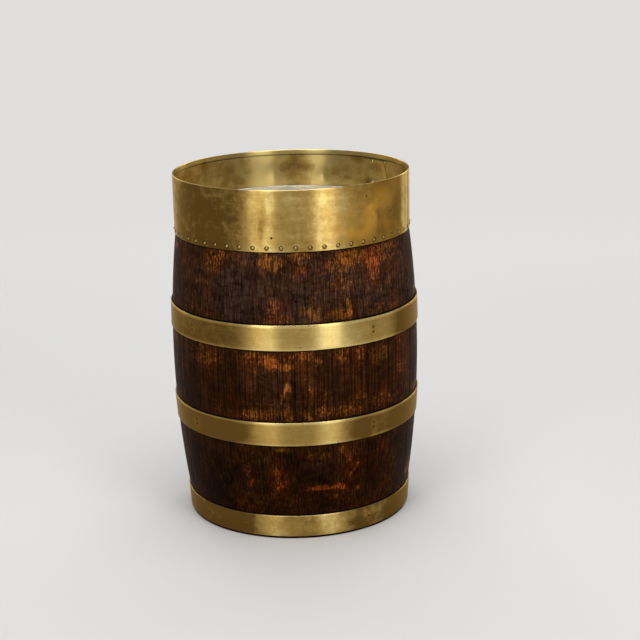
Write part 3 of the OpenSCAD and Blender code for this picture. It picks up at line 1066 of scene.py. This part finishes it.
# Partly dull wax, partly painted sheen: these lighten the top band and the far right edge as
# reflected light would.
FRONT_HAZE_AND_SHEEN = patches(
    (0, 368, 52, 70, 0.62), (0, 230, 60, 50, 0.1), (50, 366, 22, 60, 0.5), (-9, 336, 7, 12, 0.5),
    (16, 372, 9, 22, 0.3), (27, 402, 8, 12, -0.6), (39, 397, 5, 16, -0.3), (23, 328, 8, 12, -0.5),
    (-38, 402, 9, 14, -0.3), (70, 385, 8, 40, 0.6), (-23, 372, 11, 36, 0.4), (3, 362, 6, 20, 0.4),
    (13, 364, 5, 16, 0.4), (-31, 342, 7, 26, 0.35), (-1, 330, 12, 14, 0.3), (-12, 235, 10, 30, 0.3),
    (14, 240, 16, 26, 0.2), (-17, 122, 4, 5, 0.5), (12, 112, 9, 18, 0.2))
FRONT_RED = patches(
    (39, 390, 5, 26, 0.75), (-8, 335, 7, 18, 0.6), (0.5, 349, 2, 4, 0.8), (4, 384, 4, 14, 0.5),
    (14, 396, 3, 10, 0.5), (12, 75, 12, 7, 0.9), (-10, 92, 5, 16, 0.5), (27, 99, 5, 12, 0.6),
    (-25, 95, 4, 18, 0.4), (40, 112, 8, 16, 0.3), (-17, 262, 9, 9, 0.35), (30, 262, 8, 12, 0.35))
FRONT_GAPS = patches((-0.8, 232, 3, 28, 1), (-0.8, 395, 3, 16, 0.5))


@dataclass(frozen=True)
class Stains:
    """Where time has changed the stain and the wax, and where a sheen of light is painted on.

    Attributes:
        wear: Where the stain is worn through, or with a negative amount kept.
        haze_and_sheen: Where the wax is dull, and where a painted sheen lightens the wood.
        red: Where red stain is left.
        gaping: Where a joint of the staves gapes.
    """

    wear: list[Patch]
    haze_and_sheen: list[Patch]
    red: list[Patch]
    gaping: list[Patch]

    @classmethod
    def of_this_barrel(cls) -> "Stains":
        """Places the patches: those in sight at the front, and others like them behind."""
        hoop_edges = (404, 327, 270, 189, 133, 60)
        chance = random.Random(7)
        wear = UPPER_WEAR + MIDDLE_WEAR + LOWER_WEAR + KEPT_STAIN + [
            Patch(chance.uniform(72, 288), chance.choice(hoop_edges) + chance.uniform(-7, 7),
                  chance.uniform(2, 8), chance.uniform(4, 9), chance.uniform(0.3, 0.85))
            for _ in range(80)]
        wear += scattered(chance, 80, (72, 288), (50, 410), (0.6, 3), (4, 15), (0.3, 0.75),
                          (-0.2, 0.2))
        wear += scattered(chance, 16, (75, 285), (40, 412), (5, 12), (15, 40), -0.5)
        haze_and_sheen = scattered(chance, 24, (95, 265), (60, 400), (8, 18), (20, 45), (0.2, 0.6))
        red = scattered(chance, 14, (78, 282), (60, 400), (3, 8), (8, 26), 0.45)
        gaping = scattered(chance, 16, (60, 300), (60, 400), 4, 30, 0.9)
        return cls(wear, FRONT_HAZE_AND_SHEEN + haze_and_sheen, FRONT_RED + red, FRONT_GAPS + gaping)


@dataclass
class Collar:
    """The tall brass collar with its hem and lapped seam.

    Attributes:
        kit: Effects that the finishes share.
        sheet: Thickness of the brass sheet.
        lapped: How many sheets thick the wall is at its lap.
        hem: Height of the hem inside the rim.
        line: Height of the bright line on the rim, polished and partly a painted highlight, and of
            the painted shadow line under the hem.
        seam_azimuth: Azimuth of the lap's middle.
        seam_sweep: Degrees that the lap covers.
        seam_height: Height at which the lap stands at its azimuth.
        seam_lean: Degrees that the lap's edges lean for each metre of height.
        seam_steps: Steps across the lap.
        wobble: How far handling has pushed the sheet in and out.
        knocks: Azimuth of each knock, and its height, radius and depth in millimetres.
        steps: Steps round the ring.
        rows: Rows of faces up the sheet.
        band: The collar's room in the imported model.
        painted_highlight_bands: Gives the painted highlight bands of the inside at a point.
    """

    kit: Kit
    sheet: float = 0.001
    lapped: float = 1.9
    hem: float = 0.0075
    line: float = 0.7 * MM
    seam_azimuth: float = 129.5
    seam_sweep: float = 14.3
    seam_height: float = 0.475
    seam_lean: float = 110.0
    seam_steps: int = 16
    wobble: float = 0.0003
    knocks: tuple[tuple[float, float, float, float], ...] = (
        (163.0, 461.0, 8.0, 1.2), (-171.0, 466.0, 12.0, 1.6), (178.0, 478.0, 8.0, -0.6))
    steps: int = 288
    rows: int = 26
    band: Band = field(init=False)
    painted_highlight_bands: Callable[[Vector], float] = field(init=False)

    def __post_init__(self) -> None:
        """Takes the collar's room from the frame, and paints highlight bands on its inside."""
        self.band = Band.of("top_collar")
        # Painted highlight: upright bands inside where the lamps are reflected.
        self.painted_highlight_bands = patch_paint(stripes(470, (-166, 6, 0.6), (163, 3.5, 0.7))
                                  + patches((-173, 490, 6, 16, 0.5), (163, 464, 3, 8, 0.4)))

    def inside(self, point: Vector) -> bool:
        """Tells whether a point of the pushed sheet lies on its inside."""
        past_middle = 0.6 * self.sheet
        return radius_of(point) - self.pushed(point) < self.band.radius - past_middle

    def painted_hem_shadow(self, point: Vector) -> float:
        """Gives the painted shadow under the hem at a point."""
        below = self.band.high - self.hem - point.z
        return 0.75 if self.inside(point) and -HAIR < below < self.line else 0.0

    def polish_and_highlight(self, point: Vector) -> float:
        """Gives how bright the rim, the hem and the inside are made: polished by handling and
        partly painted highlight on the rim and hem, painted highlight bands inside.

        Args:
            point: Point of the pushed sheet.

        Returns:
            How bright it is there.
        """
        down = self.band.high - point.z
        if down < self.line:
            return 0.5
        if not self.inside(point):
            return 0.0
        return self.painted_highlight_bands(point) + (0.4 if down < self.hem - HAIR else 0.0)

    def pushed(self, point: Vector) -> float:
        """Gives how far handling and knocks have pushed the sheet out.

        Args:
            point: Point of the sheet, of which only the azimuth and the height count.

        Returns:
            The distance, which is negative where the sheet is pushed in.
        """
        turn = azimuth_of(point)
        spot = polar(0.17, turn, point.z)
        coarse, fine, stiff_rim, stiff_foot = 14.0, 34.0, 12 * MM, 16 * MM
        large = noise.noise(spot * coarse)
        small = noise.noise(spot * fine + Vector((5.0, 2.0, 1.0)))
        fade = smooth_step((self.band.high - point.z) / stiff_rim)
        behind = smooth_step((abs(turn) - 90) / 60)
        seated = smooth_step((point.z - self.band.low) / stiff_foot - 0.7)
        seated *= 1 - bell(turn, self.seam_azimuth, 9)
        handled = 1 + 2.6 * behind + 1.2 * bell(turn, -18, 14) + 2.0 * bell(turn, 72, 12)
        millimetres_per_degree = 3
        knocked = sum(
            depth * MM * bell(point.z / MM, height, radius)
            * bell(turn_between(turn, azimuth) * millimetres_per_degree, 0, radius)
            for azimuth, height, radius, depth in self.knocks)
        return (self.wobble * (large + 0.45 * small) * handled * (0.25 + 0.75 * fade) * seated
                + knocked)

    def section(self) -> Section:
        """Gives the section of the sheet.

        Returns:
            Its corners, up outside, over the rim, round the hem and down.
        """
        low, high, out = self.band.low, self.band.high - self.sheet, self.band.radius
        inside, hem_inside = out - self.sheet, out - 2 * self.sheet
        hem_low = self.band.high - self.hem
        return (divided((out, low), (out, high), self.rows)
                + [on_arc((inside, high), self.sheet, 180 * i / 8) for i in range(9)]
                + divided((hem_inside, high), (hem_inside, hem_low), 3)[1:]
                + [(hem_inside, hem_low), (inside, hem_low), (inside, hem_low - 0.6 * MM),
                   (inside, hem_low - 1.2 * MM)]
                + divided((inside, hem_low), (inside, low), self.rows)[1:] + [(inside, low)])

    def lap(self) -> Section:
        """Gives the section of the sheet's end, which laps inside.

        Returns:
            Its corners, from the hem down to the foot.
        """
        hem_low = self.band.high - self.hem
        outer = self.band.radius - self.sheet
        inner = self.band.radius - self.lapped * self.sheet
        high, low = hem_low - 0.5 * MM, self.band.low + 0.5 * MM
        return (rounded((outer, hem_low), 0, 0.1 * MM, 1)
                + rounded((inner, hem_low), 90, 0.3 * MM, 2)
                + divided((inner, high), (inner, low), self.rows) + [(inner, low), (outer, low)])

    def build(self, finish: BrassFinish, outside: Sequence[Patch], inside: Sequence[Patch],
              stains: Sequence[Patch]) -> None:
        """Builds and dresses the collar.

        Args:
            finish: Finish of the sheet.
            outside: Darker patches of its outside.
            inside: Darker patches of its inside.
            stains: Warm stains of its outside.
        """
        bm, seam = bmesh.new(), bmesh.new()
        spin_section(bm, self.section(), 0.0, FULL_TURN, self.steps)
        spin_section(seam, self.lap(), self.seam_azimuth - self.seam_sweep / 2,
                     self.seam_sweep, self.seam_steps)
        for vertex in seam.verts:
            lean = math.radians(self.seam_lean * (vertex.co.z - self.seam_height))
            vertex.co.xy = Matrix.Rotation(lean, 2) @ vertex.co.xy
        join(bm, seam)
        close_up(bm)
        for vertex in bm.verts:
            push_out(vertex, self.pushed(vertex.co))
        piece = finished("brass_collar", bm, CASK, Slot.COLLAR_BRASS, ["top_collar"])
        outer, inner, stain = map(patch_paint, (outside, inside, stains))
        paint(piece, "tarnish_and_shade", lambda point: (inner if self.inside(point) else outer)(point))
        paint(piece, "stain", lambda point: 0.0 if self.inside(point) else stain(point))
        # Painted shadow: a dark line inside, just under the hem.
        paint(piece, "painted_hem_shadow", self.painted_hem_shadow)
        # Polished rim and hem with painted highlight, and painted highlight bands inside.
        paint(piece, "polish_and_highlight", self.polish_and_highlight)
        paint(piece, "dents", lambda point: 1.5 if self.inside(point) else 0.45)
        dress(piece, finish.material(self.kit))


@dataclass
class Hoop:
    """A flat brass hoop with its lapped ends.

    Attributes:
        kit: Effects that the finishes share.
        name: Name of its node.
        lower_radius: Radius of its inner face at its lower edge.
        upper_radius: Radius of its inner face at its upper edge.
        strip: Thickness of the strip.
        ease: Rounding of its edges.
        lap_azimuth: Azimuth of the lap.
        lap_width: Length of the lap.
        pins_azimuth: Azimuth of one of the four pairs of pins.
        steps: Steps round the ring.
        rows: Rows of faces up the strip.
    """

    kit: Kit
    name: str
    lower_radius: float
    upper_radius: float
    strip: float = 0.0015
    ease: float = 0.0005
    lap_azimuth: float = 162.0
    lap_width: float = 0.044
    pins_azimuth: float = 36.8
    steps: int = 288
    rows: int = 8

    def section(self, low: float, high: float, inset: float, thickness: float) -> Section:
        """Gives the section of the strip.

        Args:
            low: Height of the lower edge.
            high: Height of the upper edge.
            inset: How far its inner face lies outside the hoop's inner face.
            thickness: Thickness of the strip.

        Returns:
            The corners of the section.
        """
        inner_low, inner_high = self.lower_radius + inset, self.upper_radius + inset
        outer_low, outer_high = inner_low + thickness, inner_high + thickness
        return (rounded((outer_low, low), -90, self.ease)
                + divided((outer_low, low + self.ease), (outer_high, high - self.ease),
                          self.rows)[1:]
                + rounded((outer_high, high), 0, self.ease)
                + [(inner_high, high), (inner_low, low)])

    def build(self, finish: BrassFinish, tarnish_and_shade: Sequence[Patch]) -> None:
        """Builds and dresses the hoop.

        Args:
            finish: Finish of the strip.
            tarnish_and_shade: Its darker patches, partly tarnished metal and partly painted shade.
        """
        low, high = (corner[2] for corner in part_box(self.name))
        bm, lap = bmesh.new(), bmesh.new()
        spin_section(bm, self.section(low, high, 0.0, self.strip), 0.0, FULL_TURN, self.steps)
        sweep = math.degrees(self.lap_width / self.lower_radius)
        slack, sunk, steps = 0.01 * MM, 0.1, 12
        spin_section(lap, self.section(low + slack, high - slack, self.strip * (1 - sunk),
                                       self.strip * (1 + sunk)),
                     self.lap_azimuth - sweep / 2, sweep, steps)
        join(bm, lap)
        close_up(bm)
        piece = finished("brass_" + self.name, bm, CASK, Slot.HOOP_BRASS, [self.name])
        paint(piece, "tarnish_and_shade", patch_paint(tarnish_and_shade))
        paint(piece, "dents", lambda point: 1.0)
        middle = (low + high) / 2 / MM
        wide, tall, amount = 2.2, 8, 0.5
        pins = [Patch(turn + self.pins_azimuth, middle, wide, tall, amount)
                for turn in range(0, 360, 90)]
        paint(piece, "stain", patch_paint(pins))
        # Polished edges with painted highlight: the upper edge is made brightest, as it catches the
        # light from above.
        paint(piece, "polish_and_highlight", lambda point: 0.8 if point.z > high - self.ease else
              0.3 if point.z < low + self.ease else 0.0)
        dress(piece, finish.material(self.kit))


@dataclass
class Studio:
    """The floor, the lights and the camera.

    Attributes:
        distance: Distance of the camera in front of the barrel's axis.
        height: Height of the camera.
        pitch: Degrees that it looks down.
        yaw: Degrees that it looks towards +X.
        roll: Degrees that it leans.
        lens: Focal length, in millimetres.
        sensor: Width of the sensor, in millimetres.
    """

    distance: float = 2.262
    height: float = 0.893
    pitch: float = 15.29
    yaw: float = 0.934
    roll: float = -1.376
    lens: float = 90.06
    sensor: float = 36.0

    def build(self) -> None:
        """Builds the studio."""
        self.floor()
        self.world()
        for lamp in (("left_softbox", -28.5, 1.6, 1.02, (0.64, 1.9), 7.9),
                     ("right_softbox", 30.5, 1.6, 1.02, (0.60, 1.9), 8.2),
                     ("top_softbox", 0, 0.4, 2.5, (1.6, 1.6), 12.0, 110.0),
                     ("back_left_softbox", -150, 2.8, 1.4, (1.4, 1.4), 12.0),
                     ("back_right_softbox", 145, 2.8, 1.4, (1.4, 1.4), 14.0),
                     ("far_softbox", 180, 4.0, 3.2, (4.0, 3.0), 95.0, 180.0,
                      polar(4.2, 180, 0.0))):
            self.softbox(*lamp)
        self.camera()

    def floor(self) -> None:
        """Lays the plain pale floor."""
        bm = bmesh.new()
        bmesh.ops.create_grid(bm, x_segments=1, y_segments=1, size=30.0)
        floor = placed("floor", data_of("floor", bm))
        material, graph, shader, vector = Finish("pale_floor").start()
        graph.fill(shader, {"Base Color": (0.72, 0.71, 0.69), "Roughness": 0.75})
        away = graph.node("VectorMath", {0: vector}, operation="LENGTH").outputs["Value"]
        path = graph.node("LightPath").outputs
        seen = graph.largest(path["Is Camera Ray"], path["Is Glossy Ray"],
                             path["Is Transmission Ray"])
        far = graph.times(graph.between(away, 0.8, 2.6), seen)
        plain = graph.node("Emission", {"Color": (0.74, 0.73, 0.71), "Strength": 1.0})
        ground = graph.node("MixShader", {0: far, 1: shader.outputs[0], 2: plain.outputs[0]})
        graph.feed(material.node_tree.nodes["Material Output"].inputs["Surface"],
                   ground.outputs[0])
        dress(floor, material)

    def world(self) -> None:
        """Sets the even light from all round."""
        world = bpy.data.worlds.new("studio")
        world.use_nodes = True
        background = world.node_tree.nodes["Background"]
        background.inputs["Color"].default_value = (0.93, 0.95, 1.0, 1.0)
        background.inputs["Strength"].default_value = 0.26
        bpy.context.scene.world = world

    def softbox(self, name: str, azimuth: float, distance: float, height: float, size: Corner,
                watts: float, spread: float = 180.0,
                aim: Vector = Vector((0.0, 0.0, 0.3))) -> None:
        """Sets up a softbox.

        Args:
            name: Name of the lamp.
            azimuth: Its azimuth round the barrel.
            distance: Its distance from the barrel's axis.
            height: Height of its middle.
            size: Its width and height.
            watts: Its power.
            spread: Angle of its beam, in degrees.
            aim: Point that it faces; the barrel's middle unless it is given.
        """
        lamp = bpy.data.lights.new(name, "AREA")
        lamp.spread = math.radians(spread)
        lamp.shape = "RECTANGLE"
        lamp.size, lamp.size_y = size
        lamp.energy = watts
        box = placed(name, lamp)
        box.location = polar(distance, azimuth, height)
        box.rotation_euler = (aim - box.location).to_track_quat("-Z", "Y").to_euler()
        box.visible_camera = False

    def camera(self) -> None:
        """Sets up the camera at the photograph's place and angle."""
        pitch, yaw, roll = map(math.radians, (self.pitch, self.yaw, self.roll))
        ahead = Vector((math.sin(yaw) * math.cos(pitch), math.cos(yaw) * math.cos(pitch),
                        -math.sin(pitch)))
        right = Vector((math.cos(yaw), -math.sin(yaw), 0.0))
        up = right.cross(ahead)
        across = math.cos(roll) * right + math.sin(roll) * up
        upright = -math.sin(roll) * right + math.cos(roll) * up
        data = bpy.data.cameras.new("camera")
        data.lens = self.lens
        data.sensor_width = self.sensor
        camera = placed("camera", data)
        turn = Matrix((across, upright, -ahead)).transposed().to_4x4()
        camera.matrix_world = Matrix.Translation((0.0, -self.distance, self.height)) @ turn
        bpy.context.scene.camera = camera


def aged_and_shaded(height: float, more: float, left: float, right: float) -> list[Patch]:
    """Gives the dull and the brown places of a brass ring, partly tarnished metal and partly
    painted shade where its reflections are darker.

    Args:
        height: Height of the ring's middle, in millimetres.
        more: How much duller it is than the collar all round.
        left: How dark the painted shade makes it towards -X.
        right: How dark the painted shade makes it towards +X.

    Returns:
        The places, those in sight at the front first.
    """
    chance = random.Random(round(height))
    behind = [(turn + chance.uniform(-8, 8), chance.uniform(9, 20), chance.uniform(0.3, 0.8))
              for turn in range(106, 270, 34)]
    # Painted shade: the stripes darken the ring where its reflections are darker, as well as where
    # it is tarnished.
    return [Patch(0, height, WHOLE_RING, WHOLE_RING, more)] + stripes(
        height, (-46, 23, 0.8), (-12, 6, 0.12), (1, 7, 0.3), (27, 7, 1.5 * more),
        (46, 18, 0.35 + more), (-84, 14, left), (74, 20, right), *behind)


def dress_nodes(kit: Kit) -> None:
    """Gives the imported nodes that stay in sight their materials.

    Args:
        kit: Effects that the finishes share.
    """
    stud = BrassFinish("rivet_brass", wave_height=0.0, brushed=0.0)
    rivets = replace(stud, bright=(0.85, 0.70, 0.34), cloud_amount=0.3, gloss=0.17)
    nails = replace(stud, name="nail_head_brass", bright=(0.38, 0.27, 0.09),
                    mid=(0.25, 0.16, 0.045))
    pins = replace(stud, name="pin_brass", bright=(0.11, 0.06, 0.02), mid=(0.06, 0.03, 0.01),
                   dark=(0.02, 0.011, 0.005), gloss=0.45)
    boards = PlainWoodFinish("head_board_oak", lie=(90.0, 0.0, 0.0))
    dowels = PlainWoodFinish("dowel_beech", light=(0.5, 0.36, 0.22), dark=(0.36, 0.24, 0.13),
                             lie=(0.0, 90.0, 0.0))
    finishes = {"*_nails": nails, "*_rivets": rivets, "*_pins": pins, "head_board*": boards,
                "head_dowels": dowels}
    materials = {pattern: finish.material(kit) for pattern, finish in finishes.items()}
    materials["liner_*"] = ZincFinish("dull_zinc").material()
    for name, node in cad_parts.items():
        for material in (made for pattern, made in materials.items() if fnmatch(name, pattern)):
            dress(node, material)
            LOG.info("%s keeps its packed shape in %s", name, material.name)


def main() -> None:
    """Builds the barrel's looks and the studio round it."""
    logging.basicConfig(level=logging.INFO, format="%(message)s")
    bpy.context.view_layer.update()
    scene = bpy.context.scene
    scene.view_settings.view_transform = "Standard"
    kit = Kit()
    Studio().build()

    cooper = Coopering(kit)
    oak_marks = ((36.4, 363.0, 2.0), (0.7, 349.0, 2.2))
    cooper.build(Stains.of_this_barrel(), OakFinish("stained_oak"), oak_marks)

    collar = Collar(kit)
    nail_low, nail_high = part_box("collar_nails")
    nails = NailRow(54, 1.3, (nail_low[2] + nail_high[2]) / 2, collar.band.radius, 2.3 * MM)
    sheet = BrassFinish("collar_sheet_brass", cloud_amount=0.8, wave_height=0.30, brushed=0.88,
                        spots=((-9.6, 435.3, 2.0), (37.0, 482.8, 1.4)),
                        face=collar.band.radius, nails=nails)
    # Inside: partly tarnished metal, partly painted shade between the highlight bands.
    lining = stripes(460, (176, 5, 0.25), (98, 12, 0.3), (-20, 90, 0.2))
    lining += patches((-179, 468, 5, 14, 0.2))
    lining += scattered(random.Random(11), 60, (95, 265), (448, 492), (1.2, 4), (3, 10),
                        (0.08, 0.3))
    # Outside: partly tarnished metal, partly painted shade between and beside the reflected
    # highlights.
    bands = stripes(460, (52, 8, 0.3), (43, 14, 0.25), (15, 9, 0.2), (-11, 5, 0.1))
    bands += patches((37, 429, 8, 12, 0.35), (61, 455, 4, 200, 0.5), (76, 455, 1.8, 200, 0.6),
                     (70, 470, 1.5, 40, 0.3), (51, 484, 9, 14, 0.3),
                     (-13.6, 466, 1.6, 20, 0.26, 0.02), (-14.6, 440, 1.2, 12, 0.16))
    collar_stains = patches((34, 452, 9, 26, 0.5), (46, 462, 7, 24, 0.3), (42, 460, 22, 80, 0.35))
    collar.build(sheet, aged_and_shaded(460, 0.0, 0.45, 0.0) + bands, lining, collar_stains)

    strip = BrassFinish("lower_hoop_brass", ochre=(0.36, 0.18, 0.03), cloud_amount=0.35,
                        speck_amount=0.8, wave_height=0.15, gloss=0.27, brushed=0.94)
    smear = ((16.4, 290.6, 0.8), (16.9, 291.0, 1.1), (17.4, 291.6, 0.8), (-18.0, 283.5, 0.8))
    upper = replace(strip, name="upper_hoop_brass", spots=smear, face=cooper.bilge_radius)
    foot = replace(strip, name="foot_hoop_brass", cloud_amount=1.0, speck_amount=1.0,
                   wave_height=0.45)
    for name, finish, low_gap, high_gap, more in (
            ("upper_hoop", upper, 0.3, 0.9, 0.0), ("lower_hoop", strip, 0.3, 0.3, 0.2),
            ("foot_hoop", foot, 0.1, 0.1, 0.15)):
        low, high = (corner[2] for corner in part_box(name))
        hoop = Hoop(kit, name, cooper.outside(low) + low_gap * MM,
                    cooper.outside(high) + high_gap * MM)
        hoop.build(finish, aged_and_shaded((low + high) / 2 / MM, more, 0.8, 0.8))

    dress_nodes(kit)


if __name__ == "__main__":
    main()
